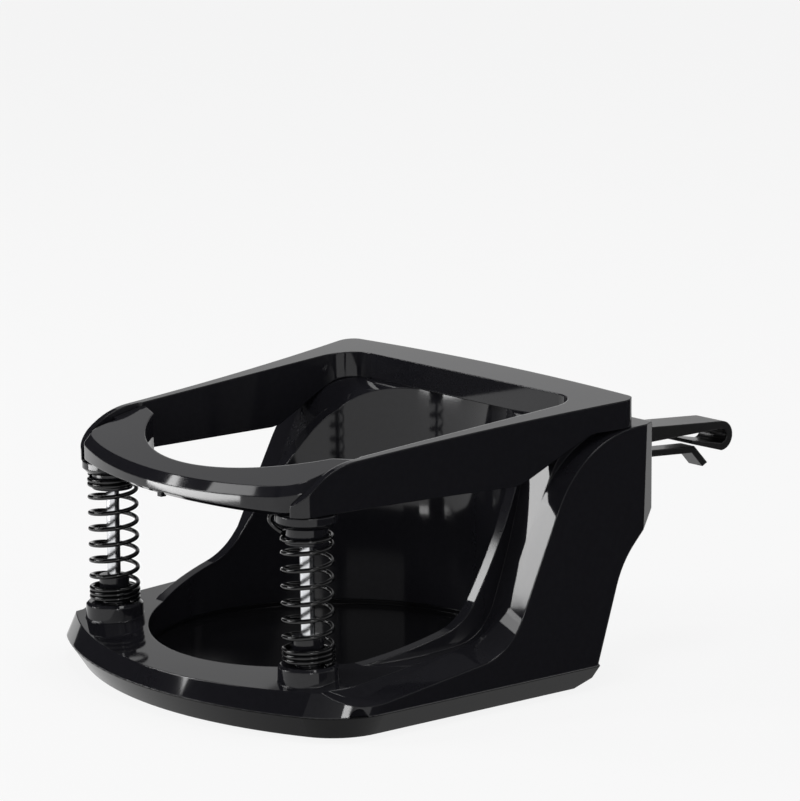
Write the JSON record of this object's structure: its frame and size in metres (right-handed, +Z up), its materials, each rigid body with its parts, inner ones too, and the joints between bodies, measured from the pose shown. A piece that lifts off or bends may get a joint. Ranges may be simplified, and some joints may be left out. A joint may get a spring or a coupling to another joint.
{
  "type": "car air-vent cup holder",
  "caption": "Gloss-black cup holder that hooks on a car's air vent: round well in a tray, swept fenders, an upper frame and a sprung front bar on guide rods.",
  "frame": {"origin": "on the axis of the well, at the level of the underside", "axes": "+Z up along the well's axis, -Y towards the sprung front bar, +Y towards the vent clips, X across"},
  "size_m": [0.0934, 0.123, 0.0559],
  "materials": {
    "gloss_black": "polished moulded ABS",
    "satin_black": "satin moulded nylon",
    "bright_steel": "bright plated rod",
    "black_wire": "black coated spring wire",
    "screw_steel": "plain steel"
  },
  "bodies": {
    "holder": {"body": "gloss_black", "base_cover": "gloss_black", "cover_screws": "screw_steel", "upper_frame": "gloss_black", "vent_clip_left": "satin_black", "vent_clip_right": "satin_black", "spring_left": "black_wire", "spring_right": "black_wire"},
    "sprung_bar": {"front_bar": "gloss_black", "guide_rod_left": "bright_steel", "guide_rod_right": "bright_steel"}
  },
  "joints": [
    {"name": "front_bar_slide", "type": "slide", "parent": "holder", "child": "sprung_bar", "axis": [0, 0, -1], "range_m": [0, 0.006], "stiffness_N_per_m": 2000, "springref_m": -0.003, "deforming": ["spring_left", "spring_right"]}
  ]
}
